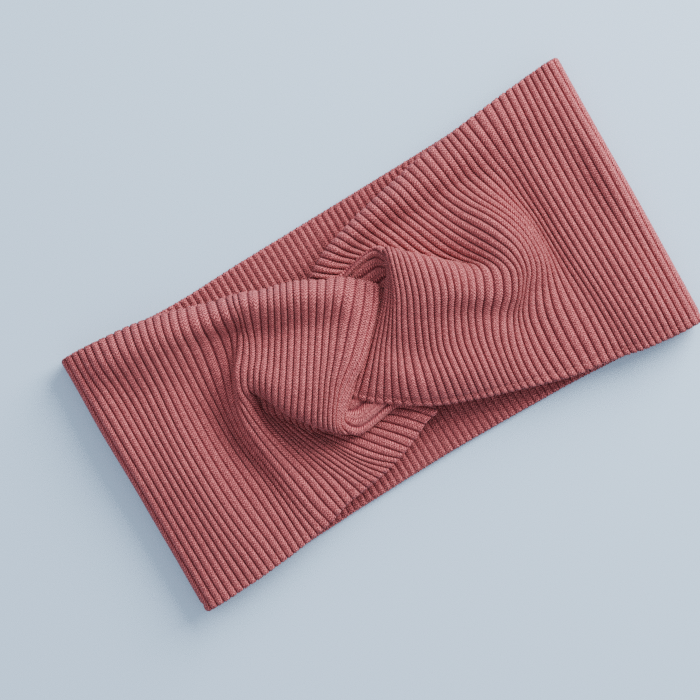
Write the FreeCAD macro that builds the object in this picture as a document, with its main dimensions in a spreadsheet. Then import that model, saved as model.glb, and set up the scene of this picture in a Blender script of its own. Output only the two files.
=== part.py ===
"""Twist headband: a wide tube of ribbed knit, flattened, joined into a loop by a twist knot.

The band lies on a table, knot up. +X runs along the band, +Y across it, +Z up.
The origin is the middle of the flat underside. Sizes are in millimetres and angles in degrees.
The one knit tube is divided where it bends, so that the loop can open round a head.
"""

import FreeCAD, Part
import math
import os

import Sketcher
from FreeCAD import Placement, Rotation, Vector

DIMENSIONS = [
    # the band, flat
    ("band_length", "240"),
    ("band_width", "120"),
    ("ply_pair", "3.4"),
    ("head_gap", "5.0"),
    ("clearance", "0.3"),
    ("bend_reach", "65"),
    ("back_bend_width", "114"),
    ("front_bend_width", "107"),
    # the same, worked out
    ("bend_radius", "=ply_pair / 2"),
    ("front_level", "=ply_pair + head_gap"),
    ("stack_height", "=2 * ply_pair + head_gap"),
    ("fold_radius", "=stack_height / 2"),
    ("fold_bore_radius", "=fold_radius - ply_pair"),
    ("fold_reach", "=band_length / 2 - fold_radius"),
    ("fold_sweep_radius", "=fold_radius + clearance"),
    ("front_bend_level", "=front_level + bend_radius"),
    ("bend_end", "=bend_radius + clearance"),
    # the knot
    ("knot_centre_x", "-4"),
    ("knot_centre_y", "2"),
    ("arm_root_width", "34.5"),
    ("arm_root_y", "31.2"),
    ("arm_rise_x", "-43"),
    ("arm_rise_y", "20"),
    ("arm_rise_width", "48.4"),
    ("arm_rise_height", "8.9"),
    ("arm_rise_level", "12.2"),
    ("arm_rise_turn", "7"),
    ("arm_crown_x", "-24.5"),
    ("arm_crown_y", "8.5"),
    ("arm_crown_width", "59.6"),
    ("arm_crown_height", "12.5"),
    ("arm_crown_level", "14.6"),
    ("arm_crown_turn", "22.7"),
    ("arm_plunge_x", "-8"),
    ("arm_plunge_y", "-5.5"),
    ("arm_plunge_width", "61.6"),
    ("arm_plunge_height", "10"),
    ("arm_plunge_level", "14.6"),
    ("arm_plunge_turn", "43"),
    ("loop_length", "52"),
    ("loop_thickness", "1.2"),
    ("loop_height", "7.5"),
    ("loop_level", "14.4"),
    # the back arm's outline, as distances from the knot's centre
    ("back_arm_root_top", "12.7"),
    ("back_arm_crease_reach", "43.5"),
    ("back_arm_crease_depth", "6.5"),
    ("back_arm_inner_reach", "8"),
    ("back_arm_inner_depth", "1.5"),
    ("back_arm_end_depth", "40"),
    ("back_arm_hem_reach", "42"),
    ("back_arm_hem_depth", "51.5"),
    ("back_arm_root_depth", "55.5"),
    ("left_arm_reach", "=bend_reach - bend_end + knot_centre_x"),
    ("right_arm_reach", "=bend_reach - bend_end - knot_centre_x"),
    # the seams
    ("closing_seam_length", "60"),
    ("closing_seam_width", "8"),
    ("closing_seam_level", "9"),
    ("closing_seam_height", "5"),
    ("closing_seam_reach", "=closing_seam_width / 2 + clearance"),
    ("thread_width", "1"),
    ("thread_height", "0.5"),
    ("side_seam_inset", "4"),
    ("fold_seam_start", "7"),
]

doc = FreeCAD.newDocument("TwistHeadband")
sheet = doc.addObject("Spreadsheet::Sheet", "Dimensions")
for row, (alias, text) in enumerate(DIMENSIONS, start=1):
    sheet.set(f"A{row}", alias)
    sheet.set(f"B{row}", text)
    sheet.setAlias(f"B{row}", alias)
doc.recompute()

Constraint = Sketcher.Constraint
UP = Vector(0, 0, 1)
parts = []


def size(alias):
    """The value of one cell."""
    return float(sheet.get(alias))


def origin_plane(body, role):
    return next(f for f in body.Origin.OriginFeatures if f.Role == role)


def new_body(node):
    body = doc.addObject("PartDesign::Body", node)
    body.Label = node
    parts.append(body)
    return body


def new_sketch(body, name, role, offset=Placement()):
    sketch = body.newObject("Sketcher::SketchObject", name)
    sketch.AttachmentSupport = (origin_plane(body, role), [""])
    sketch.MapMode = "FlatFace"
    sketch.AttachmentOffset = offset
    return sketch


def bind(sketch, constraint, expression):
    """Adds a constraint of the sketch and ties it to the sheet."""
    index = sketch.addConstraint(constraint)
    sketch.setExpression(f"Constraints[{index}]", expression)


def slot_section(body, name, centre, turn, width, height):
    """A flat cloth tube's section: two straight plies and two round edges, upright.

    centre is the section's middle, turn its angle about +Z away from the band's cross direction.
    width and height are cells.
    """
    offset = Placement(Vector(centre.y, centre.z, centre.x), Rotation(Vector(0, 1, 0), -turn))
    sketch = new_sketch(body, name, "YZ_Plane", offset)
    radius = size(height) / 2
    half = size(width) / 2 - radius
    side, up = Vector(half, 0, 0), Vector(0, radius, 0)
    arc, line = Part.ArcOfCircle, Part.LineSegment
    right = sketch.addGeometry(arc(Part.Circle(side, UP, radius), -math.pi / 2, math.pi / 2))
    top = sketch.addGeometry(line(side + up, up - side))
    left = sketch.addGeometry(arc(Part.Circle(-side, UP, radius), math.pi / 2, 3 * math.pi / 2))
    bottom = sketch.addGeometry(line(-side - up, side - up))
    for before, after in ((right, top), (top, left), (left, bottom), (bottom, right)):
        sketch.addConstraint(Constraint("Tangent", before, 2, after, 1))
    sketch.addConstraint(Constraint("Horizontal", top))
    sketch.addConstraint(Constraint("PointOnObject", right, 3, -1))
    sketch.addConstraint(Constraint("Symmetric", left, 3, right, 3, -1, 1))
    bind(sketch, Constraint("Radius", right, radius), f"Dimensions.{height} / 2")
    reach = Constraint("DistanceX", left, 3, right, 3, 2 * half)
    bind(sketch, reach, f"Dimensions.{width} - Dimensions.{height}")
    return sketch


def loft(body, sections):
    feature = body.newObject("PartDesign::AdditiveLoft", f"{body.Name}_loft")
    feature.Profile = sections[0]
    feature.Sections = sections[1:]
    feature.Ruled = True


def flat_tube(node, from_x, to_x, level, widths):
    """One stretch of the flattened tube, lying at a level, with a width at each end."""
    body = new_body(node)
    middle = level + size("ply_pair") / 2
    sections = [
        slot_section(body, f"{node}_end_{n}", Vector(x, 0, middle), 0, width, "ply_pair")
        for n, (x, width) in enumerate(zip((from_x, to_x), widths))
    ]
    loft(body, sections)
    return body


def circle_sketch(body, name, side, reach, level, radius):
    """A circle in the XZ plane, for what runs across the band. Its numbers are cells."""
    sketch = new_sketch(body, name, "XZ_Plane")
    centre = Vector(side * size(reach), size(level), 0)
    ring = sketch.addGeometry(Part.Circle(centre, UP, size(radius)))
    bind(sketch, Constraint("Radius", ring, size(radius)), f"Dimensions.{radius}")
    place_centre(sketch, ring, side, reach, level)
    return sketch


def place_centre(sketch, ring, side, reach, level):
    """Ties a circle's centre to a reach along the band, on one side, and a level."""
    ends = (ring, 3, -1, 1) if side < 0 else (-1, 1, ring, 3)
    bind(sketch, Constraint("DistanceX", *ends, size(reach)), f"Dimensions.{reach}")
    bind(sketch, Constraint("DistanceY", -1, 1, ring, 3, size(level)), f"Dimensions.{level}")


def fold_clearance(body, side):
    """Hollows a panel's outer end, so that it turns round the end fold without touching it."""
    sketch = circle_sketch(
        body, f"{body.Name}_sweep", side, "fold_reach", "fold_radius", "fold_sweep_radius"
    )
    doc.recompute()
    before = body.Shape.Volume
    pocket = body.newObject("PartDesign::Pocket", f"{body.Name}_hollow")
    pocket.Profile = sketch
    pocket.Type = 1
    pocket.Midplane = True
    doc.recompute()
    if body.Shape.Volume >= before:
        raise RuntimeError(f"{body.Label}: the fold clearance cut nothing")


def bend_roll(node, side, level, width):
    """The short stretch of tube that bends at a hinge line: a round roll across the band."""
    body = new_body(node)
    sketch = circle_sketch(body, f"{node}_circle", side, "bend_reach", level, "bend_radius")
    pad_across(body, sketch, width)


def pad_across(body, sketch, width):
    pad = body.newObject("PartDesign::Pad", f"{body.Name}_pad")
    pad.Profile = sketch
    pad.Midplane = True
    pad.setExpression("Length", f"Dimensions.{width}")


def end_fold(node, side):
    """The U-turn at one end of the band: half a thick-walled pipe, open towards the middle."""
    body = new_body(node)
    sketch = new_sketch(body, f"{node}_section", "XZ_Plane")
    centre = Vector(side * size("fold_reach"), size("fold_radius"), 0)
    start = -side * math.pi / 2
    radii = ("fold_radius", "fold_bore_radius")
    circles = [Part.Circle(centre, UP, size(radius)) for radius in radii]
    outer, inner = [
        sketch.addGeometry(Part.ArcOfCircle(circle, start, start + math.pi)) for circle in circles
    ]
    for end, angle in ((1, start), (2, start + math.pi)):
        rim = sketch.addGeometry(Part.LineSegment(*[circle.value(angle) for circle in circles]))
        sketch.addConstraint(Constraint("Coincident", outer, end, rim, 1))
        sketch.addConstraint(Constraint("Coincident", inner, end, rim, 2))
        sketch.addConstraint(Constraint("Vertical", rim))
    sketch.addConstraint(Constraint("Coincident", outer, 3, inner, 3))
    sketch.addConstraint(Constraint("Vertical", outer, 1, outer, 2))
    for ring, radius in zip((outer, inner), radii):
        bind(sketch, Constraint("Radius", ring, size(radius)), f"Dimensions.{radius}")
    place_centre(sketch, outer, side, "fold_reach", "fold_radius")
    pad_across(body, sketch, "band_width")


def knot_placement(side):
    """The knot's halves are alike: the right one is the left one turned half round its centre."""
    centre = Vector(size("knot_centre_x"), size("knot_centre_y"), 0)
    return Placement(centre, Rotation(UP, 0 if side < 0 else 180))


def arm_reach(side):
    """The cell for how far from the knot's centre an arm starts."""
    return "left_arm_reach" if side < 0 else "right_arm_reach"


def front_arm(node, side):
    """The arm seen from above: it rises from the panel, swells, and ends where it plunges."""
    body = new_body(node)
    root = Vector(-size(arm_reach(side)), size("arm_root_y"), size("front_bend_level"))
    sections = [slot_section(body, f"{node}_root", root, 0, "arm_root_width", "ply_pair")]
    for stage in ("rise", "crown", "plunge"):
        key = f"arm_{stage}"
        level = size(f"{key}_level") + size(f"{key}_height") / 2
        centre = Vector(size(f"{key}_x"), size(f"{key}_y"), level)
        turn = size(f"{key}_turn")
        sections.append(
            slot_section(body, f"{node}_{stage}", centre, turn, f"{key}_width", f"{key}_height")
        )
    loft(body, sections)
    body.Placement = knot_placement(side)
    return body


def outline(sketch, corners):
    """A closed outline. Each corner is its X sign and cell, then its Y sign and cell."""
    points = [Vector(kx * size(x), ky * size(y), 0) for kx, x, ky, y in corners]
    lines = [
        sketch.addGeometry(Part.LineSegment(start, end))
        for start, end in zip(points, points[1:] + points[:1])
    ]
    for line, after in zip(lines, lines[1:] + lines[:1]):
        sketch.addConstraint(Constraint("Coincident", line, 2, after, 1))
    for line, corner in zip(lines, corners):
        for kind, sign, cell in (("DistanceX", *corner[:2]), ("DistanceY", *corner[2:])):
            ends = (line, 1, -1, 1) if sign < 0 else (-1, 1, line, 1)
            bind(sketch, Constraint(kind, *ends, size(cell)), f"Dimensions.{cell}")


def back_arm(node, side):
    """The arm that runs flat behind the other one to the closing seam."""
    body = new_body(node)
    sketch = new_sketch(body, f"{node}_plan", "XY_Plane")
    reach = arm_reach(side)
    corners = [
        (-1, reach, 1, "back_arm_root_top"),
        (-1, "back_arm_crease_reach", -1, "back_arm_crease_depth"),
        (-1, "back_arm_inner_reach", -1, "back_arm_inner_depth"),
        (-1, "closing_seam_reach", -1, "back_arm_inner_depth"),
        (-1, "closing_seam_reach", -1, "back_arm_end_depth"),
        (-1, "back_arm_hem_reach", -1, "back_arm_hem_depth"),
        (-1, reach, -1, "back_arm_root_depth"),
    ]
    outline(sketch, corners)
    sketch.setExpression("AttachmentOffset.Base.z", "Dimensions.front_level")
    pad = body.newObject("PartDesign::Pad", f"{node}_pad")
    pad.Profile = sketch
    pad.setExpression("Length", "Dimensions.ply_pair")
    body.Placement = knot_placement(side)


def knot_bar(node, cells, middle, turn=0.0, side=-1):
    """A straight strip in the knot. cells give its length, width and height.

    middle is the middle of its underside, from the knot's centre, and turn its angle about +Z.
    """
    box = doc.addObject("Part::Box", node)
    box.Label = node
    for name, cell in zip(("Length", "Width", "Height"), cells):
        box.setExpression(name, f"Dimensions.{cell}")
    corner = Placement(Vector(-size(cells[0]) / 2, -size(cells[1]) / 2, 0), Rotation())
    box.Placement = knot_placement(side) * Placement(middle, Rotation(UP, turn)) * corner
    parts.append(box)


def loop_turn(node, side):
    """The cloth of an arm going down between the two arms, just past the arm's plunge line."""
    turn = math.radians(size("arm_plunge_turn"))
    past = 2 * size("clearance") + size("loop_thickness") / 2
    out = Vector(math.cos(turn), -math.sin(turn), 0) * past
    middle = Vector(size("arm_plunge_x"), size("arm_plunge_y"), size("loop_level")) + out
    cells = ("loop_thickness", "loop_length", "loop_height")
    knot_bar(node, cells, middle, -size("arm_plunge_turn"), side)


def side_seam_thread(node, from_x, to_x, level, from_width, to_width):
    """The row of stitches that closes the tube, just inside the band's lower edge."""
    inset = size("side_seam_inset")
    start = Vector(from_x, inset - size(from_width) / 2, level)
    end = Vector(to_x, inset - size(to_width) / 2, level)
    run = end - start
    thread = doc.addObject("Part::Box", node)
    thread.Label = node
    thread.Length = run.Length
    thread.setExpression("Width", "Dimensions.thread_width")
    thread.setExpression("Height", "Dimensions.thread_height")
    turn = math.degrees(math.atan2(run.y, run.x))
    if abs(turn) > 90:
        # a run towards -X keeps its stitches on the same side of its line
        thread.Placement = Placement(end, Rotation(UP, turn + 180))
    else:
        thread.Placement = Placement(start, Rotation(UP, turn))
    parts.append(thread)


SIDES = ((-1, "left"), (1, "right"))
bend_from = size("bend_reach") - size("bend_end")
bend_to = size("bend_reach") + size("bend_end")
back_end = size("fold_reach") - size("clearance")
front_end = size("fold_reach")

flat_tube("back_centre_tube", -bend_from, bend_from, 0, ("back_bend_width", "back_bend_width"))
for side, name in SIDES:
    back_widths, front_widths = ("back_bend_width", "band_width"), ("front_bend_width", "band_width")
    bend_roll(f"back_{name}_bend", side, "bend_radius", "back_bend_width")
    flat_tube(f"back_{name}_tube", side * bend_to, side * back_end, 0, back_widths)
    end_fold(f"{name}_end_fold", side)
    front_run = (side * bend_to, side * front_end)
    front = flat_tube(f"front_{name}_tube", *front_run, size("front_level"), front_widths)
    fold_clearance(front, side)
    bend_roll(f"front_{name}_bend", side, "front_bend_level", "front_bend_width")
    front_arm(f"{name}_front_arm", side)
    back_arm(f"{name}_back_arm", side)
    loop_turn(f"{name}_loop_turn", side)

seam_foot = Vector(0, 0, size("closing_seam_level"))
thread_foot = seam_foot - Vector(0, 0, size("thread_height"))
seam_cells = ["closing_seam_width", "closing_seam_length", "closing_seam_height"]
knot_bar("closing_seam_allowance", seam_cells, seam_foot)
knot_bar("closing_seam_thread", [*seam_cells[:2], "thread_height"], thread_foot)

inside, outside = size("ply_pair"), size("stack_height")
centre_run = (-bend_from, bend_from, inside, "back_bend_width", "back_bend_width")
side_seam_thread("back_centre_seam_thread", *centre_run)
for side, name in SIDES:
    back_run = (side * bend_to, side * back_end, inside, "back_bend_width", "band_width")
    side_seam_thread(f"back_{name}_seam_thread", *back_run)
    front_stop = size("fold_reach") - size("fold_seam_start")
    front_run = (side * bend_to, side * front_stop, outside, "front_bend_width", "band_width")
    side_seam_thread(f"front_{name}_seam_thread", *front_run)

doc.recompute()
for item in doc.Objects:
    if "Invalid" in item.State or "Error" in item.State:
        raise RuntimeError(f"{item.Label}: {item.State}")
for part in parts:
    if part.Shape.isNull() or not part.Shape.isValid():
        raise RuntimeError(f"{part.Label}: no valid shape")

os.makedirs("parts", exist_ok=True)
for part in parts:
    part.Shape.exportStep(f"parts/{part.Label}.step")
    print(part.Label, round(part.Shape.Volume), len(part.Shape.Solids))
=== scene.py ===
"""Knotted rib-knit headband, lying flat: the cloth and its stitching over the CAD frame."""
import math

import bpy
import numpy as np
from mathutils import Matrix, Vector


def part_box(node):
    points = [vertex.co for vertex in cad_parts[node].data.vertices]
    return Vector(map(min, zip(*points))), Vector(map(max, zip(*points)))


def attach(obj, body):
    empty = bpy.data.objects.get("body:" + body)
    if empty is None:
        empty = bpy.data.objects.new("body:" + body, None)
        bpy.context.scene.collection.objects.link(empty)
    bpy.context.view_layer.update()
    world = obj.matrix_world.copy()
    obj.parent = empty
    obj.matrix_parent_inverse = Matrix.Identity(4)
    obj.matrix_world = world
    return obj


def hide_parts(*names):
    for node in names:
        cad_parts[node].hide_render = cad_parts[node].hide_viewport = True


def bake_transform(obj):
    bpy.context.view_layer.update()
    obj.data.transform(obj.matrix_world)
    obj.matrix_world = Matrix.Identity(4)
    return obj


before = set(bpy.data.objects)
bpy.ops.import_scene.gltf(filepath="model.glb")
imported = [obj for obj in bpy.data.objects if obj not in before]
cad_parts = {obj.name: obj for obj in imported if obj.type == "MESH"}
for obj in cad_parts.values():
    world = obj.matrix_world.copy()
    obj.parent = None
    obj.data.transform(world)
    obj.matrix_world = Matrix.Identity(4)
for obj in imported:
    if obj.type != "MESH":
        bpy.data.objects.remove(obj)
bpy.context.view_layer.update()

MM = 0.001

# ---------------------------------------------------------------- sizes, in millimetres
PITCH = 3.0            # one rib of the knit
STITCH = 1.08          # one stitch along a rib
BASE = 0.55            # half thickness of the cloth in the groove between two ribs
RIB = 1.0              # how far a rib stands above that
BACK_Z = 1.7           # middle of the back layer
FOLD_X = 114.1         # the end folds' hinge lines
FOLD_Z = 5.9
FOLD_R = 4.2           # from a fold's centre to the middle of its cloth
KNOT_X = -4            # middle of the knot
KNOT_Y = 2
LIFT_SPREAD = 24       # how far along the fold its soft lift reaches

SEAM_IN = 2.0          # the side seam, from the band's bottom edge
DITCH_WIDTH = 0.55     # the ditch that the seam pulls into the ribs
DITCH_DEPTH = 0.55     # as a share of the cloth's thickness
SEAM_STITCH_Z = 0.85   # the seam's stitches, from the middle of the cloth
SEAM_STITCH_R = 0.26
SEAM_STITCH_STARTS = (0.12, 0.62)    # where they start, in ribs from a groove
SEAM_STITCH_SPAN = 0.34              # how many ribs one of them crosses

# ---------------------------------------------------------------- how finely the cloth is built
STATIONS = 13          # points that each guiding rib has across the band
ALONG = 72             # samples along a rib
RIB_SAMPLES = (0.0, 0.07, 0.11, 0.17, 0.29, 0.50, 0.71, 0.83, 0.89, 0.93)    # and across it
MEASURED = 150         # points that measure a rib's length
EDGE_TURN = np.radians([35, 70, 110, 145])    # points round the band's rounded edges
EDGE_STEP = 0.45       # the pattern's advance from one of those to the next
INNER_SHIFT = 0.42     # the inner ply's ribs, in ribs from the outer ply's

# ---------------------------------------------------------------- unevenness of hand-laid cloth
WOBBLE = 0.05          # sideways drift of a rib's crown, in ribs
SWELL = 0.10           # share by which a rib's height varies
DRIFT = 0.25           # rise and fall of the whole cloth, in millimetres
NOISE_WAVES = 7


# ---------------------------------------------------------------- curves
def spline(points, knots, where):
    """Smooth curve (or row of curves) through points at knots, read at where."""
    points = np.asarray(points, float)
    knots = np.asarray(knots, float)
    where = np.clip(np.asarray(where, float), knots[0], knots[-1])
    step = np.diff(knots)
    shape = (-1,) + (1,) * (points.ndim - 1)
    slope = np.diff(points, axis=0) / step.reshape(shape)
    tangent = np.empty_like(points)
    before, after = step[:-1].reshape(shape), step[1:].reshape(shape)
    tangent[1:-1] = (slope[:-1] * after + slope[1:] * before) / (before + after)
    tangent[0] = 1.5 * slope[0] - 0.5 * tangent[1]
    tangent[-1] = 1.5 * slope[-1] - 0.5 * tangent[-2]
    i = np.clip(np.searchsorted(knots, where, side="right") - 1, 0, len(step) - 1)
    h = step[i].reshape(shape)
    t = ((where - knots[i]) / step[i]).reshape(shape)
    return (
        points[i] * (1 + 2 * t) * (1 - t) ** 2
        + tangent[i] * h * t * (1 - t) ** 2
        + points[i + 1] * t * t * (3 - 2 * t)
        + tangent[i + 1] * h * t * t * (t - 1)
    )


def chords(points):
    """Running length along a row of points."""
    gaps = np.linalg.norm(np.diff(points, axis=0), axis=1)
    return np.concatenate([[0.0], np.cumsum(np.maximum(gaps, 1e-6))])


def even(*points):
    """A guiding rib through a few points, re-read at evenly spaced stations."""
    points = np.array(points, float)
    run = chords(points)
    return spline(points, run, np.linspace(0, run[-1], STATIONS))


def rib(*points):
    """A guiding rib given station by station."""
    assert len(points) == STATIONS
    return np.array(points, float)


def turned(guide):
    """The same rib on the other half: half a turn about the middle of the knot."""
    return np.column_stack([2 * KNOT_X - guide[:, 0], 2 * KNOT_Y - guide[:, 1], guide[:, 2]])


def across(x, top, bottom, z, lean=0.0):
    """A straight rib across the flat band, from top edge to bottom edge."""
    y = np.linspace(top, bottom, STATIONS)
    return np.column_stack([x + lean * y, y, np.full(STATIONS, z)])


# ---------------------------------------------------------------- guiding ribs
def end_of_band(side, lean, tops, bottoms, lift, lift_y, reach):
    """Back layer from the middle, then round the end fold to the start of the front.

    The band's edges are given in the middle, near the bend and at the end; the fold lies reach
    beyond its hinge line, and its upper part is lifted round lift_y.
    """
    back, mid, end = tops
    low_back, low_mid, low_end = bottoms
    guides = [
        across(0, back, low_back, BACK_Z),
        across(side * 35, (back * 2 + mid) / 3, (low_back * 2 + low_mid) / 3, BACK_Z),
        across(side * 70, mid, low_mid, BACK_Z, lean * 0.3),
        across(side * 95, (mid + end) / 2, (low_mid + low_end) / 2, BACK_Z, lean * 0.7),
        across(side * (106 + reach * 0.6), end, low_end, BACK_Z, lean),
    ]
    for degrees in range(0, 181, 30):
        angle = math.radians(degrees)
        x = FOLD_X + reach + FOLD_R * math.sin(angle)
        z = FOLD_Z - FOLD_R * math.cos(angle)
        guide = across(side * x, end, low_end, z, lean)
        share = math.sin(angle / 2) ** 4
        guide[:, 2] += lift * share * np.exp(-(((guide[:, 1] - lift_y) / LIFT_SPREAD) ** 2))
        guides.append(guide)
    return guides


# the left half: after the end fold, each rib runs from the band's top edge down to its bottom
# edge, and the last ones turn under to make the loop that the right half goes through
left_end = end_of_band(
    -1, 0.014, (56.3, 55.6, 59.3), (-54.8, -56.5, -59.2), lift=1.6, lift_y=22, reach=0.9
)
left_guides = left_end + [
    even((-103.4, 58.4, 12), (-103.6, 55, 14.4), (-104.2, 34, 10), (-104.8, 14, 10.8),
         (-105, -15, 12), (-104.8, -44, 11.4), (-104.6, -58.8, 10.2)),
    even((-86.6, 56.8, 13), (-87.4, 52.6, 16.8), (-90, 30, 10.1), (-91.8, 12, 10.8), (-92.3, -8, 12.6),
         (-91.4, -36, 12.4), (-90, -50, 11.4), (-89.5, -58, 10.4)),
    even((-65.2, 51.8, 12.4), (-66.4, 48.2, 16.4), (-69, 32, 8.8), (-70.5, 22, 7.2), (-71.5, 12, 6.8),
         (-72.4, 2, 6.9), (-72.4, -8, 7.6), (-71.6, -18, 8.6), (-70.6, -30, 9.4), (-70, -45, 10),
         (-69.5, -55.8, 10.1)),
    even((-51.5, 47.3, 12), (-52, 44.4, 16.6), (-53.6, 32.6, 9.4), (-55.2, 27, 9.2),
         (-58, 20.5, 11.4), (-61, 14, 14), (-64, 7, 15), (-65, 0, 15), (-64.8, -10, 14.6),
         (-63.6, -20, 13.6), (-62, -32, 12.4), (-60.4, -45, 11), (-58.6, -53.8, 10.2)),
    even((-46.5, 46.2, 12.6), (-47, 43.2, 17.4), (-49.8, 31.6, 10.8), (-54, 24.5, 12.4),
         (-59.2, 17.5, 15.8), (-62.2, 10, 16.2), (-62.8, 3, 15.4), (-62.4, -5, 14.4), (-61, -15, 13.6),
         (-59, -25, 12.6), (-57, -35, 11.6), (-55.6, -45, 10.8), (-54, -52.6, 10.1)),
    rib((-41, 44.8, 13.8), (-41.8, 41.8, 18.2), (-46.4, 28, 12.4), (-50.2, 20.4, 15.4), (-53.8, 15.2, 17.8),
        (-57, 9.8, 17.2), (-56.8, 6.4, 11.6), (-58.6, 0, 9.9), (-57.5, -9, 10.3), (-55, -18, 11),
        (-52.4, -28, 11), (-49.6, -38, 10.7), (-47.5, -50.6, 10.1)),
    rib((-33.4, 41.7, 14.4), (-35, 38.2, 19), (-41.8, 25.4, 13.2), (-46.4, 18, 16.2), (-50.4, 12.6, 19.4),
        (-53.6, 6.4, 18.4), (-53.6, 2.6, 12.2), (-55.6, -2.6, 9.8), (-54.3, -12, 9.9),
        (-50.6, -23, 10.9), (-46.6, -33, 11), (-43, -42, 10.6), (-40.5, -49.8, 10.1)),
    rib((-25.5, 39.2, 14.8), (-27.5, 35.4, 19.8), (-34.8, 22.4, 14.8), (-41.4, 12.2, 18.8), (-47.2, 3.8, 22),
        (-50.8, -2.6, 19.8), (-49, -5.4, 12.4), (-49.8, -11, 9.8), (-46.6, -19.4, 9.9),
        (-43, -27.4, 11), (-39, -36, 11), (-35.4, -43, 10.6), (-32, -48.6, 10.1)),
    rib((-17.6, 36.3, 15.2), (-19.7, 32.4, 20.2), (-26.8, 19.8, 16.2), (-34, 8.6, 20.4), (-40.8, -1.6, 23.2),
        (-46, -9.8, 21), (-43.4, -12.2, 12.6), (-44.4, -18.2, 9.8), (-41, -24.6, 9.9),
        (-37, -31, 11), (-32, -38.2, 11), (-27.6, -43, 10.5), (-23.4, -46.8, 10.1)),
    rib((-8.8, 31.6, 15.4), (-11.5, 27.6, 20.2), (-18.8, 16.8, 17.2), (-27, 5, 21.2), (-35, -6.6, 24),
        (-41, -16.6, 21.6), (-38.6, -18.8, 12.8), (-36.4, -22.8, 9.8), (-31.8, -25.6, 9.6),
        (-27, -30, 10.2), (-22.2, -35.8, 10.4), (-17.8, -41.2, 10.6), (-15.6, -44.2, 10.1)),
    rib((-2.4, 29, 16), (-5.6, 25, 20), (-13.4, 14.8, 18.2), (-22.4, 2.8, 21.6), (-31.2, -7.8, 24),
        (-38.4, -19.8, 21), (-34.8, -22.6, 13), (-30.4, -24.8, 9.8), (-25.2, -26.4, 9.2),
        (-20.2, -29.8, 9.4), (-15.6, -34.4, 9.8), (-11.4, -39, 10.4), (-9.2, -41.7, 10.1)),
    rib((3.4, 24.3, 16.2), (-2.4, 17.2, 20), (-9.2, 9.4, 21), (-17.6, 0.6, 22.8), (-27.8, -8.8, 23.4),
        (-36.2, -22.8, 20), (-32.4, -25.2, 13), (-26, -25.8, 10), (-19.4, -26.2, 9),
        (-13.8, -28.4, 9), (-8.8, -32.4, 9.4), (-5, -36.6, 10.2), (-3, -38.9, 10)),
    rib((8.2, 19.7, 16.8), (2.6, 12.2, 18.8), (-4.4, 5.2, 20.2), (-13, -2.6, 21.2), (-24.2, -9.4, 21.4),
        (-35, -24, 18.4), (-30.4, -26.4, 13.4), (-23, -25.8, 10.4), (-15.4, -25.4, 9.2),
        (-9.2, -26.8, 8.8), (-3.8, -30, 9), (0.6, -33.8, 9.8), (3, -36, 9.8)),
    rib((9.6, 17, 14.6), (3.6, 10.4, 15.2), (-4.6, 3.2, 16.2), (-13.2, -4.4, 17), (-23, -10.8, 17),
        (-32.4, -23.6, 16.6), (-28.8, -28, 15.2), (-23.2, -28.4, 13.8), (-18, -27.6, 12.8),
        (-13, -26.6, 12), (-8.4, -26, 11.2), (-5, -25.2, 10.4), (-2, -24.4, 10)),
    rib((9, 15.6, 11.8), (3.4, 9.4, 12), (-4.2, 2.6, 12.3), (-12, -5.2, 12.8), (-18.6, -11.6, 12.8),
        (-24, -13.4, 12.6), (-20.4, -10.6, 12.2), (-14, -7.6, 11.6), (-8, -7, 11),
        (-3.4, -11, 10.4), (-0.6, -17, 9.9), (2, -23.4, 9.6), (4, -29.5, 9.5)),
]

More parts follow.
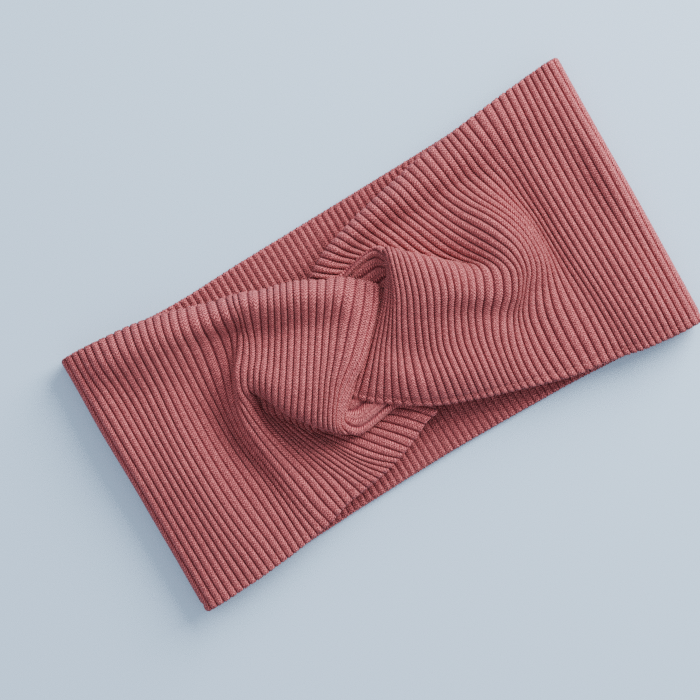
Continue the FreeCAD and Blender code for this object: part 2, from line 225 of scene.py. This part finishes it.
# the right half: its ribs run the other way, from the bottom edge up to the top edge
right_end = end_of_band(
    1, 0.034, (56.3, 57.2, 60.9), (-54.8, -57, -61.9), lift=2.6, lift_y=12, reach=0.9
)
right_guides = [guide[::-1] for guide in right_end] + [
    even((104, -61.2, 10.4), (104.3, -50, 12.6), (104.8, -36, 12.8), (105.4, -15, 11.2),
         (105.8, 6, 10.2), (106.6, 26, 10.2), (107.6, 50, 11.4), (108.4, 60.3, 10.6)),
    even((90.4, -59.4, 10.6), (90.4, -48, 12.2), (90.4, -30, 12), (90.4, -10, 11), (90.4, 15, 10.4),
         (91, 36, 10.2), (91.8, 52, 12.6), (92.4, 59, 11)),
    even((76, -56.3, 10.1), (76.5, -50, 10.8), (77.5, -35, 10.8), (78, -20, 10), (78.6, -5, 9),
         (78.6, 10, 8.6), (77.6, 20, 8.4), (76.5, 30, 8.4), (74, 42, 10.6), (72.8, 51, 13), (72, 56.7, 11)),
    even((63, -54.5, 10.1), (63, -45, 10.8), (63.5, -35, 11.2), (65, -25, 11.8), (68, -17, 12),
         (71, -11, 12.8), (72.6, -4, 13.8), (72.8, 4, 14.2), (71.8, 12, 14.2), (69.4, 19, 13.4),
         (66, 27, 11.4), (63, 37, 8.8), (61.4, 49.4, 13.6), (61, 55.6, 11.2)),
    even((52.5, -51.8, 10.2), (52, -47, 10.8), (52.5, -38, 11.6), (53.5, -29, 12.2), (56, -21, 12.6),
         (60, -15, 14.2), (64.6, -9, 16.2), (67, -3, 17.6), (67, 3, 18.2), (65.4, 10, 18),
         (62.4, 18, 16), (57.4, 27, 12), (53.6, 36, 8.8), (51, 48.8, 13.6), (50, 54.2, 11.2)),
    rib((43, -48.8, 10.8), (43, -39, 13), (45.5, -28, 13.8), (50, -19.5, 13.4), (56.4, -12, 17.4),
        (60, -4, 19), (59, 3, 18), (56.4, 9, 16), (52.6, 16, 13.6), (48.8, 23.5, 11),
        (44.4, 35, 8.8), (41, 48.6, 13.6), (40, 52.2, 11.4)),
    rib((31, -44.8, 11.8), (32, -33, 16), (34.3, -20.5, 16), (38.2, -11.5, 16.6), (43, -4.5, 20.6),
        (46.2, 3, 18.6), (45, 7.4, 12.6), (40.6, 13, 10.2), (36.4, 20, 9.8),
        (33, 29, 9.4), (29.8, 38, 9), (27.2, 46.4, 13.6), (26.3, 49.3, 12)),
    rib((18.6, -40.4, 12.8), (19.6, -30, 17.6), (21.8, -16.5, 17.2), (26.4, -6.5, 18.8), (32, 3, 23.6),
        (34.8, 14.6, 21), (32, 17.6, 12.6), (26.6, 20.6, 9.8), (21.8, 25.4, 9.2),
        (18.6, 31, 9), (15.4, 37.6, 8.8), (12.6, 43.6, 13.2), (11.6, 45.9, 12)),
    rib((6.2, -35.3, 13.6), (8, -26.5, 18), (11, -14, 17.4), (15.4, -3.6, 20.6), (21.4, 8.6, 24.4),
        (25, 24, 21.6), (22.6, 26, 12.8), (18, 27.2, 9.6), (13.2, 28.4, 9),
        (8.4, 31.2, 8.8), (3.6, 35.6, 8.9), (-0.4, 40, 12.4), (-1.8, 41.6, 11.2)),
    rib((-4, -29.4, 14), (-1, -19.6, 18.2), (3.6, -9.4, 17.8), (9, 0.6, 21), (15.6, 11.8, 23.6),
        (20.8, 29.2, 20.6), (18.8, 28.8, 13), (14, 27.2, 10), (8.6, 26.6, 9),
        (3, 27.8, 8.6), (-2.8, 31.2, 8.8), (-8.4, 35.6, 10.8), (-10.2, 37, 10.4)),
    rib((-12.5, -23.4, 14.4), (-6.5, -13.6, 18), (-0.6, -4.4, 18.4), (6.6, 4.4, 20.2), (13.6, 13.4, 21.4),
        (19.6, 29, 19.6), (17.4, 29.4, 13.4), (12.6, 27.8, 10.6), (7, 26.2, 9.6),
        (1, 25.8, 9), (-5, 27.2, 8.8), (-11, 31, 9), (-14, 33.4, 9)),
    rib((-18.6, -18.4, 14.8), (-11.6, -10.8, 17.2), (-4.4, -2.6, 17.8), (3.4, 5.6, 18.6), (10.4, 13.2, 18.6),
        (18.6, 28.6, 18.2), (16.6, 31.8, 15.8), (12.4, 32.4, 14.2), (8, 32, 13.2),
        (4, 31.2, 12.4), (0.4, 30.2, 11.6), (-3, 29.2, 10.8), (-6, 28.4, 10.2)),
    rib((-22, -14.4, 14.6), (-14.4, -8, 15.8), (-6.2, -0.8, 16.4), (2.8, 7, 16.6), (9.4, 13.4, 15.6),
        (16.8, 24.4, 15.2), (14.6, 27.2, 13.8), (10.2, 27.8, 12.6), (6, 27.4, 11.6),
        (2, 27, 10.8), (-2, 26.4, 10.2), (-5, 26, 9.8), (-8, 25.4, 9.4)),
    turned(left_guides[-1]) + (0, 0, 1.2),    # the hidden raw end, a little above the other one
]


# ---------------------------------------------------------------- one half of the band
class Half:
    """A surface through the guiding ribs: rib number along the band, stations across it."""

    def __init__(self, guides, steps, seed, seam_at_end):
        """The last guides lie steps ribs apart; the others as far as their distance says."""
        self.guides = np.array(guides)
        flat = len(guides) - 1 - len(steps)
        ribs = [0.0]
        for i, (a, b) in enumerate(zip(self.guides[:-1], self.guides[1:])):
            gap = np.linalg.norm(b - a, axis=1).mean() / PITCH
            ribs.append(ribs[-1] + (gap if i < flat else steps[i - flat]))
        self.count = round(ribs[-1])
        self.knots = np.array(ribs) * self.count / ribs[-1]
        self.seed = seed
        self.seam_at_end = seam_at_end

    def number_at(self, guide_index):
        """The whole rib number nearest to a guiding rib."""
        return int(round(self.knots[guide_index]))

    def surface(self, numbers, samples):
        """Middle of the cloth at each rib number; samples are fractions of each rib's length."""
        rows = spline(self.guides, self.knots, numbers)
        out = np.empty((len(numbers), len(samples), 3))
        lengths = np.empty(len(numbers))
        dense = np.linspace(0, 1, MEASURED)
        for i, row in enumerate(rows):
            run = chords(row)
            fine = spline(row, run, dense * run[-1])
            fine_run = chords(fine)
            lengths[i] = fine_run[-1]
            for k in range(3):
                out[i, :, k] = np.interp(samples * fine_run[-1], fine_run, fine[:, k])
        return out, lengths


# ribs between the guides of the front, counted from the end fold to the closing seam
left = Half(
    left_guides,
    (6.4, 3.4, 1.2, 2.2, 1.8, 2.8, 3.0, 2.8, 1.8, 1.7, 1.8, 1.5, 2.4),
    seed=11,
    seam_at_end=True,
)
right = Half(
    right_guides,
    (5.0, 3.6, 3.0, 2.9, 4.3, 4.5, 4.1, 2.9, 2.6, 2.2, 1.6, 2.4),
    seed=47,
    seam_at_end=False,
)

# the guides that lie nearest to the parting lines on the back and on the front
BACK_CUT = 3
FRONT_CUT = 13


# ---------------------------------------------------------------- the cloth's relief
def soft_noise(u, v, seed):
    """Gentle unevenness between -1 and 1 from a few crossing waves."""
    draw = np.random.default_rng(seed)
    total = np.zeros(np.broadcast(u, v).shape)
    for _ in range(NOISE_WAVES):
        fu, fv = draw.uniform(0.15, 1.1), draw.uniform(0.02, 0.11)
        phase = draw.uniform(0, 2 * math.pi, 2)
        total += np.sin(fu * u + phase[0]) * np.sin(fv * v + phase[1])
    return total / 3.0


def rib_profile(phase):
    """A rib's rounded section: 0 in the groove, 1 on its crown."""
    rib_share = 0.86    # the rest of the width is the groove's flat bottom
    phase = phase - np.floor(phase)
    out = np.minimum(np.abs(2 * phase - 1) / rib_share, 1)
    return (1 - out ** 2.6) ** 0.55


def relief(number, distance, from_seam, seed):
    """How far the outer and the inner ply stand off the middle of the cloth."""
    wobble = WOBBLE * soft_noise(number, distance, seed + 1)
    outer = BASE + RIB * rib_profile(number + wobble * np.sin(math.pi * (number % 1)) ** 2)
    swell = 1 + SWELL * soft_noise(number * 1.3, distance * 1.4, seed + 2)
    ditch = np.exp(-(((from_seam - SEAM_IN) / DITCH_WIDTH) ** 2))
    inner = BASE + RIB * rib_profile(number + INNER_SHIFT + 0 * distance)
    return outer * swell * (1 - DITCH_DEPTH * ditch), inner


def sample_fractions():
    """Places along a rib, closer together at both edges."""
    even_steps = np.linspace(0, 1, ALONG)
    return even_steps - 0.045 * np.sin(2 * math.pi * even_steps)


def unit(vectors):
    """The same directions, each of length 1."""
    return vectors / np.maximum(np.linalg.norm(vectors, axis=2, keepdims=True), 1e-9)


def edge(middle, normal, down, outer, inner, column, sign):
    """The rounded edge of the tube, from the outer ply to the inner one."""
    out = []
    for angle in EDGE_TURN:
        share = angle / math.pi
        radius = (outer[:, column] * (1 - share) + inner[:, column] * share)[:, None]
        out.append(
            middle[:, column]
            + normal[:, column] * radius * math.cos(angle)
            + sign * down[:, column] * radius * math.sin(angle)
        )
    return np.stack(out, axis=1)


# ---------------------------------------------------------------- building the meshes
def new_piece(name, vertices, faces, material, uvs=None):
    """A smooth-shaded object; vertices are in millimetres, uvs are one per vertex."""
    mesh = bpy.data.meshes.new(name)
    mesh.from_pydata((np.asarray(vertices) * MM).tolist(), [], faces)
    if uvs is not None:
        layer = mesh.uv_layers.new(name="UVMap")
        corners = np.empty(len(mesh.loops), np.int32)
        mesh.loops.foreach_get("vertex_index", corners)
        layer.data.foreach_set("uv", np.asarray(uvs)[corners].astype(np.float32).reshape(-1))
    mesh.polygons.foreach_set("use_smooth", [True] * len(mesh.polygons))
    mesh.update()
    thing = bpy.data.objects.new(name, mesh)
    bpy.context.scene.collection.objects.link(thing)
    thing.data.materials.append(material)
    return thing


def tube_faces(rows, around):
    """Faces between rings of points, and a lid of strips on each end of the tube."""
    corner = len(EDGE_TURN)
    index = np.arange(rows * around).reshape(rows, around)
    beside = np.roll(index, -1, axis=1)
    quads = np.stack([index[:-1], index[1:], beside[1:], beside[:-1]], axis=-1)
    faces = quads.reshape(-1, 4).tolist()
    for row, flip in ((0, False), (rows - 1, True)):
        loop = index[row].tolist()
        outer = loop[:ALONG]
        inner = loop[ALONG + corner:2 * ALONG + corner][::-1]
        lid = [[outer[k], outer[k + 1], inner[k + 1], inner[k]] for k in range(ALONG - 1)]
        lid.append(loop[ALONG - 1:ALONG + corner + 1])
        lid.append(loop[2 * ALONG + corner - 1:] + loop[:1])
        for face in lid:
            faces.append(face[::-1] if flip else face)
    return faces


def tube_uvs(numbers, distance):
    """The knit pattern's place at each point: ribs in u, stitches in v."""
    past_edge = EDGE_STEP * np.arange(1, len(EDGE_TURN) + 1)[None, :]
    u_outer = np.repeat(numbers[:, None], ALONG + len(EDGE_TURN), axis=1)
    u = np.concatenate([u_outer, u_outer + INNER_SHIFT], axis=1)
    tail = distance[:, -1:] + past_edge
    head = np.broadcast_to(-past_edge, tail.shape)
    v = np.concatenate([distance, tail, distance[:, ::-1], head], axis=1)
    return np.column_stack([u.reshape(-1), v.reshape(-1) / STITCH])


def cloth(name, half, first, last):
    """A closed flattened tube of ribbed cloth between two grooves of one half."""
    ribs = [k + np.array(RIB_SAMPLES) for k in range(first, last)]
    numbers = np.concatenate(ribs + [[float(last)]])
    samples = sample_fractions()
    middle, lengths = half.surface(numbers, samples)
    along = np.gradient(middle, numbers, axis=0)
    down = np.gradient(middle, axis=1)
    normal = unit(np.cross(down, along))
    down = unit(down)

    number = numbers[:, None]
    distance = samples[None, :] * lengths[:, None]
    from_seam = (lengths[:, None] - distance) if half.seam_at_end else distance
    outer, inner = relief(number, distance, from_seam, half.seed)
    middle = middle + normal * (DRIFT * soft_noise(number, distance, half.seed))[..., None]

    ring = [
        middle + normal * outer[..., None],
        edge(middle, normal, down, outer, inner, -1, 1),
        (middle - normal * inner[..., None])[:, ::-1],
        edge(middle, normal, down, outer, inner, 0, -1)[:, ::-1],
    ]
    points = np.concatenate(ring, axis=1)
    faces = tube_faces(*points.shape[:2])
    return new_piece(name, points.reshape(-1, 3), faces, KNIT, tube_uvs(numbers, distance))


# ---------------------------------------------------------------- materials
PALE = (0.850, 0.212, 0.226, 1)      # the yarn in full light
DEEP_TONE_AND_SHADE = (0.190, 0.016, 0.030, 1)      # darker yarn for the colour drift and the specks, and painted shade between the stitches and along each rib's crown
GROOVE_SHADE_COLOUR = (0.150, 0.009, 0.024, 1)      # painted shade in the grooves between the ribs
SHEEN = (0.95, 0.72, 0.70, 1)
THREAD_DARK = (0.30, 0.065, 0.075, 1)
THREAD_PALE = (0.50, 0.13, 0.135, 1)
LEG_PLACE = 0.19       # the middle of a V stitch's leg, in ribs from the crown
LEG_SLANT = 4.2        # stitches that a leg climbs in one rib's width
LINE_SHARPNESS = 13.0
GROOVE_SHADE_SHARPNESS = 6.2


def knit_material(name):
    """Ribbed knit: V stitches with painted shade between them, grooves darkened with painted shade, slight
    colour drift, a soft fuzz of sheen.
    """
    material = bpy.data.materials.new(name)
    material.use_nodes = True
    tree = material.node_tree
    nodes, links = tree.nodes, tree.links
    shader = nodes["Principled BSDF"]

    def put(socket, value):
        if isinstance(value, (int, float, tuple)):
            socket.default_value = value
        else:
            links.new(value, socket)

    def math_node(operation, *values):
        node = nodes.new("ShaderNodeMath")
        node.operation = operation
        for socket, value in zip(node.inputs, values):
            put(socket, value)
        return node.outputs[0]

    def times(a, b):
        return math_node("MULTIPLY", a, b)

    def mix(factor, a, b):
        node = nodes.new("ShaderNodeMix")
        node.data_type = "RGBA"
        for socket, value in (("Factor", factor), ("A", a), ("B", b)):
            put(node.inputs[socket], value)
        return node.outputs["Result"]

    def noise(scale, detail, vector):
        node = nodes.new("ShaderNodeTexNoise")
        node.inputs["Scale"].default_value = scale
        node.inputs["Detail"].default_value = detail
        links.new(vector, node.inputs["Vector"])
        return node.outputs["Fac"]

    def line(distance, sharpness):
        """1 on a line, falling to 0 beside it."""
        return math_node("SUBTRACT", 1.0, math_node("MINIMUM", times(distance, sharpness), 1.0))

    uv = nodes.new("ShaderNodeUVMap")
    uv.uv_map = "UVMap"
    parts = nodes.new("ShaderNodeSeparateXYZ")
    links.new(uv.outputs["UV"], parts.inputs["Vector"])
    place = nodes.new("ShaderNodeTexCoord").outputs["Object"]
    u, v = parts.outputs["X"], parts.outputs["Y"]

    offset = math_node("ABSOLUTE", math_node("SUBTRACT", math_node("FRACT", u), 0.5))
    leg = math_node("ABSOLUTE", math_node("SUBTRACT", offset, LEG_PLACE))
    waver = times(noise(700, 1, place), 0.35)
    slanted = math_node("ADD", math_node("ADD", v, times(leg, LEG_SLANT)), waver)
    wave = math_node("SINE", times(slanted, 2 * math.pi))
    stitch = math_node("MULTIPLY_ADD", wave, 0.5, 0.5)
    stitch = math_node("SMOOTH_MIN", times(stitch, 1.5), 1.0, 0.2)
    # painted shade: a mask of the grooves between the ribs, where the colour is darkened
    groove = line(math_node("SUBTRACT", 0.5, offset), GROOVE_SHADE_SHARPNESS)
    # the line along each rib's crown: painted shade in the colour, a dip in the bump
    spine = line(offset, LINE_SHARPNESS)
    leg_line = line(leg, LINE_SHARPNESS)
    speck_range = nodes.new("ShaderNodeMapRange")
    speck_range.inputs["From Min"].default_value = 0.40
    speck_range.inputs["From Max"].default_value = 0.60
    links.new(noise(1050, 1, place), speck_range.inputs["Value"])
    speck = speck_range.outputs["Result"]

    drifting = mix(times(noise(45, 3, place), 0.20), PALE, DEEP_TONE_AND_SHADE)
    # painted shade: the yarn darkens between the stitches, where the bump sinks
    shaded_between_stitches = mix(times(math_node("SUBTRACT", 1.0, stitch), 0.95), drifting, DEEP_TONE_AND_SHADE)
    specked = mix(times(speck, 0.38), shaded_between_stitches, DEEP_TONE_AND_SHADE)
    # painted shade along each rib's crown, where the bump sinks; a darker line is also drawn along each
    # stitch leg
    crown_shaded_and_legs_lined = mix(math_node("ADD", times(spine, 0.40), times(leg_line, 0.25)), specked, DEEP_TONE_AND_SHADE)
    # painted shade: the grooves are darkened nearly to black red
    links.new(mix(times(groove, 0.92), crown_shaded_and_legs_lined, GROOVE_SHADE_COLOUR), shader.inputs["Base Color"])
    shader.inputs["Roughness"].default_value = 0.88
    shader.inputs["Specular IOR Level"].default_value = 0.25
    shader.inputs["Sheen Weight"].default_value = 0.14
    shader.inputs["Sheen Roughness"].default_value = 0.5
    shader.inputs["Sheen Tint"].default_value = SHEEN

    height = math_node("SUBTRACT", stitch, times(speck, 0.6))
    height = math_node("SUBTRACT", height, times(spine, 0.5))
    bump = nodes.new("ShaderNodeBump")
    bump.inputs["Strength"].default_value = 1.0
    bump.inputs["Distance"].default_value = 0.00045
    links.new(height, bump.inputs["Height"])
    links.new(bump.outputs["Normal"], shader.inputs["Normal"])
    return material


def thread_material(name):
    """Sewing thread: a fine twist along each stitch."""
    material = bpy.data.materials.new(name)
    material.use_nodes = True
    nodes, links = material.node_tree.nodes, material.node_tree.links
    shader = nodes["Principled BSDF"]
    place = nodes.new("ShaderNodeTexCoord")
    wave = nodes.new("ShaderNodeTexWave")
    wave.inputs["Scale"].default_value = 2200
    wave.inputs["Distortion"].default_value = 2
    links.new(place.outputs["Object"], wave.inputs["Vector"])
    ramp = nodes.new("ShaderNodeValToRGB")
    ramp.color_ramp.elements[0].color = THREAD_DARK
    ramp.color_ramp.elements[1].color = THREAD_PALE
    links.new(wave.outputs["Fac"], ramp.inputs["Fac"])
    links.new(ramp.outputs["Color"], shader.inputs["Base Color"])
    shader.inputs["Roughness"].default_value = 0.7
    bump = nodes.new("ShaderNodeBump")
    bump.inputs["Strength"].default_value = 0.4
    bump.inputs["Distance"].default_value = 0.0001
    links.new(wave.outputs["Fac"], bump.inputs["Height"])
    links.new(bump.outputs["Normal"], shader.inputs["Normal"])
    return material


KNIT = knit_material("rib_knit")
THREAD = thread_material("sewing_thread")


# ---------------------------------------------------------------- stitching
STITCH_SIDES = 6
STITCH_PROFILE = ((0.0, 0.45), (0.22, 0.9), (0.5, 1.0), (0.78, 0.9), (1.0, 0.45))    # along, radius


def stitch_points(start, end, radius):
    """Rings of points round one short rounded stitch."""
    axis = end - start
    length = np.linalg.norm(axis)
    axis = axis / length
    helper = np.array([0.0, 0.0, 1.0]) if abs(axis[2]) < 0.8 else np.array([1.0, 0.0, 0.0])
    one = np.cross(axis, helper)
    one /= np.linalg.norm(one)
    two = np.cross(axis, one)
    points = []
    for share, scale in STITCH_PROFILE:
        for k in range(STITCH_SIDES):
            angle = 2 * math.pi * k / STITCH_SIDES
            spot = start + axis * length * share
            points.append(spot + radius * scale * (one * math.cos(angle) + two * math.sin(angle)))
    return points


def stitch_row(name, starts, ends, radius):
    """A row of short rounded stitches as one mesh."""
    vertices, faces = [], []
    for start, end in zip(starts, ends):
        first = len(vertices)
        last = first + (len(STITCH_PROFILE) - 1) * STITCH_SIDES
        vertices += stitch_points(start, end, radius)
        for ring in range(first, last, STITCH_SIDES):
            for k in range(STITCH_SIDES):
                a = ring + k
                b = ring + (k + 1) % STITCH_SIDES
                faces.append((a, b, b + STITCH_SIDES, a + STITCH_SIDES))
        faces.append(tuple(first + k for k in range(STITCH_SIDES))[::-1])
        faces.append(tuple(last + k for k in range(STITCH_SIDES)))
    return new_piece(name, vertices, faces, THREAD)


def seam_spot(half, number):
    """A point on the cloth's outer side, in the side seam's ditch, at a rib number."""
    _, lengths = half.surface(np.array([number - 0.02]), np.array([0.0, 1.0]))
    reach = SEAM_IN / lengths[0]
    near = 0.01
    spots = [1 - reach, 1 - reach - near] if half.seam_at_end else [reach, reach + near]
    grid, _ = half.surface(np.array([number - 0.05, number + 0.05]), np.array(spots))
    along = grid[1, 0] - grid[0, 0]
    down = (grid[0, 0] - grid[0, 1]) if half.seam_at_end else (grid[0, 1] - grid[0, 0])
    normal = np.cross(down, along)
    normal /= np.linalg.norm(normal)
    return grid.mean(axis=0)[0] + normal * SEAM_STITCH_Z


def side_stitches(name, half, first, last):
    """The side seam's stitches: two to a rib, down in the seam's ditch."""
    starts, ends = [], []
    for k in range(first, last):
        for shift in SEAM_STITCH_STARTS:
            starts.append(seam_spot(half, k + shift))
            ends.append(seam_spot(half, k + shift + SEAM_STITCH_SPAN))
    return stitch_row(name, starts, ends, SEAM_STITCH_R)


# ---------------------------------------------------------------- the pieces of the band
BACK_NODES = {
    "left": ("back_centre_tube", "back_left_bend", "back_left_tube"),
    "right": ("back_right_bend", "back_right_tube"),
}
BACK_THREADS = {"left": ("back_centre_seam_thread",), "right": ()}


def stretch(name, half, first, last, nodes, threads):
    """A stretch of cloth and its row of seam stitches, in place of the CAD parts that it hides."""
    piece = cloth(f"{name}_cloth", half, first, last)
    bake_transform(piece)
    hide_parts(*nodes)
    row = side_stitches(f"{name}_stitches", half, first, last)
    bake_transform(row)
    if threads:
        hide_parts(*threads)


for side, half, sign in (("left", left, -1), ("right", right, 1)):
    back, front = f"back_{side}", f"front_{side}"
    back_cut = half.number_at(BACK_CUT)
    front_cut = half.number_at(FRONT_CUT)
    stretch(
        back, half, 0, back_cut,
        nodes=BACK_NODES[side],
        threads=BACK_THREADS[side],
    )
    stretch(
        f"{side}_fold", half, back_cut, front_cut,
        nodes=[f"{side}_end_fold"],
        threads=[f"{back}_seam_thread"],
    )
    arms = [f"{side}_front_arm", f"{side}_back_arm", f"{side}_loop_turn"]
    stretch(
        f"{side}_front", half, front_cut, half.count,
        nodes=[f"{front}_tube", f"{front}_bend", *arms],
        threads=[f"{front}_seam_thread"],
    )


# ---------------------------------------------------------------- the closing seam, under the knot
ALLOWANCE_ROWS = 60
ALLOWANCE_COLUMNS = 9
ALLOWANCE_Z = 10.6           # the allowance's flat edges
ALLOWANCE_END = 2            # how far it stays inside its CAD solid, along and across
ALLOWANCE_SIDE = 0.6
CLOSING_STITCHES = 22
CLOSING_STITCH_START = 4
CLOSING_STITCH_PITCH = 2.45
CLOSING_STITCH_LENGTH = 1.9
CLOSING_STITCH_Z = 9.0
CLOSING_STITCH_R = 0.28


def allowance_layer(low, high, height):
    """One side of the allowance; height takes the row and how far inside the edges a point is."""
    points = []
    for i in range(ALLOWANCE_ROWS):
        length = high.y - low.y - 2 * ALLOWANCE_END
        y = low.y + ALLOWANCE_END + length * i / (ALLOWANCE_ROWS - 1)
        for j in range(ALLOWANCE_COLUMNS):
            t = j / (ALLOWANCE_COLUMNS - 1)
            x = low.x + ALLOWANCE_SIDE + (high.x - low.x - 2 * ALLOWANCE_SIDE) * t
            points.append((x, y, height(i, 1 - (2 * t - 1) ** 4)))
    return points


def allowance_faces():
    """Both sides of the allowance, then its long edges and its ends."""
    rows, columns = ALLOWANCE_ROWS, ALLOWANCE_COLUMNS
    size = rows * columns
    faces = []
    for i in range(rows - 1):
        for j in range(columns - 1):
            a = i * columns + j
            faces.append((a, a + columns, a + columns + 1, a + 1))
            faces.append((size + a, size + a + 1, size + a + columns + 1, size + a + columns))
    for i in range(rows - 1):
        a, b = i * columns, i * columns + columns - 1
        faces.append((a, size + a, size + a + columns, a + columns))
        faces.append((b, b + columns, size + b + columns, size + b))
    for j in range(columns - 1):
        a, b = j, (rows - 1) * columns + j
        faces.append((a, a + 1, size + a + 1, size + a))
        faces.append((b, size + b, size + b + 1, b + 1))
    return faces


def closing_seam(low, high):
    """The raw layers sewn together: a short ribbed strip on the underside of the knot."""
    def underside(i, inside):
        frill = 0.25 * math.sin(i * 1.9) * inside
        return ALLOWANCE_Z - 1.3 * inside - frill

    def top(i, inside):
        return ALLOWANCE_Z + 0.5 + 1.2 * inside

    points = allowance_layer(low, high, underside) + allowance_layer(low, high, top)
    uvs = [(y / PITCH, x / STITCH) for x, y, z in points]
    return new_piece("closing_seam_allowance_cloth", points, allowance_faces(), KNIT, uvs)


def closing_stitches(low, x):
    """One straight row of stitches along the closing seam."""
    starts, ends = [], []
    for i in range(CLOSING_STITCHES):
        y = low.y / MM + CLOSING_STITCH_START + i * CLOSING_STITCH_PITCH
        starts.append(np.array([x, y, CLOSING_STITCH_Z]))
        ends.append(np.array([x, y + CLOSING_STITCH_LENGTH, CLOSING_STITCH_Z]))
    return stitch_row("closing_seam_stitches", starts, ends, CLOSING_STITCH_R)


seam_low, seam_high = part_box("closing_seam_allowance")
thread_low, thread_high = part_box("closing_seam_thread")
seam = closing_seam(seam_low / MM, seam_high / MM)
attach(seam, "knot_left")
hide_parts("closing_seam_allowance")
seam_row = closing_stitches(seam_low, (thread_low.x + thread_high.x) / 2 / MM)
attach(seam_row, "knot_left")
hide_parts("closing_seam_thread")

# ---------------------------------------------------------------- floor, light and camera, in metres
FLOOR_SIZE = 3
FLOOR_Z = -0.0002
FLOOR_COLOUR = (0.55, 0.76, 1.0, 1)
SKY_COLOUR = (0.88, 0.92, 1.0, 1)
SKY_STRENGTH = 0.71
UP = Vector((0.517, 0.856, 0))        # the camera's upward direction, on the floor
RIGHT = Vector((0.856, -0.517, 0))    # and the one to its right
KEY_PLACE = UP * 0.87 + RIGHT * 0.75 + Vector((0, 0, 0.56))
FILL_PLACE = UP * 0.1 - RIGHT * 0.7 + Vector((0, 0, 1.3))
CENTRE = Vector((-0.0141, 0.0022, 0.010))    # what the camera looks at
LENS = 110.0           # millimetres, as is the sensor
SENSOR = 36
SEEN = 0.290           # the width that the camera sees there

bpy.ops.mesh.primitive_plane_add(size=FLOOR_SIZE, location=(0, 0, FLOOR_Z))
floor = bpy.context.object
floor.name = "floor"
floor_material = bpy.data.materials.new("pale_floor")
floor_material.use_nodes = True
floor_shader = floor_material.node_tree.nodes["Principled BSDF"]
floor_shader.inputs["Base Color"].default_value = FLOOR_COLOUR
floor_shader.inputs["Roughness"].default_value = 0.7
floor.data.materials.append(floor_material)

world = bpy.data.worlds.new("studio")
world.use_nodes = True
background = world.node_tree.nodes["Background"]
background.inputs["Color"].default_value = SKY_COLOUR
background.inputs["Strength"].default_value = SKY_STRENGTH
bpy.context.scene.world = world


def area_light(name, place, size, power, colour):
    """A round soft light that points at the origin."""
    data = bpy.data.lights.new(name, "AREA")
    data.shape = "DISK"
    data.size = size
    data.energy = power
    data.color = colour
    thing = bpy.data.objects.new(name, data)
    thing.location = place
    thing.rotation_mode = "QUATERNION"
    thing.rotation_quaternion = (-Vector(place)).to_track_quat("-Z", "Y")
    bpy.context.scene.collection.objects.link(thing)


area_light("key", KEY_PLACE, size=1.0, power=44, colour=(1.0, 0.98, 0.96))
area_light("fill", FILL_PLACE, size=1.2, power=2, colour=(0.90, 0.95, 1.0))

camera_data = bpy.data.cameras.new("camera")
camera_data.lens = LENS
camera_data.sensor_width = SENSOR
camera_data.clip_start = 0.05
camera_data.clip_end = 10
camera = bpy.data.objects.new("camera", camera_data)
camera.matrix_world = Matrix((
    (RIGHT.x, UP.x, 0, CENTRE.x),
    (RIGHT.y, UP.y, 0, CENTRE.y),
    (0, 0, 1, CENTRE.z + SEEN * LENS / SENSOR),
    (0, 0, 0, 1),
))
bpy.context.scene.collection.objects.link(camera)
bpy.context.scene.camera = camera

# the stitches are so fine that a denoiser would wipe them out
bpy.context.scene.cycles.use_denoising = False
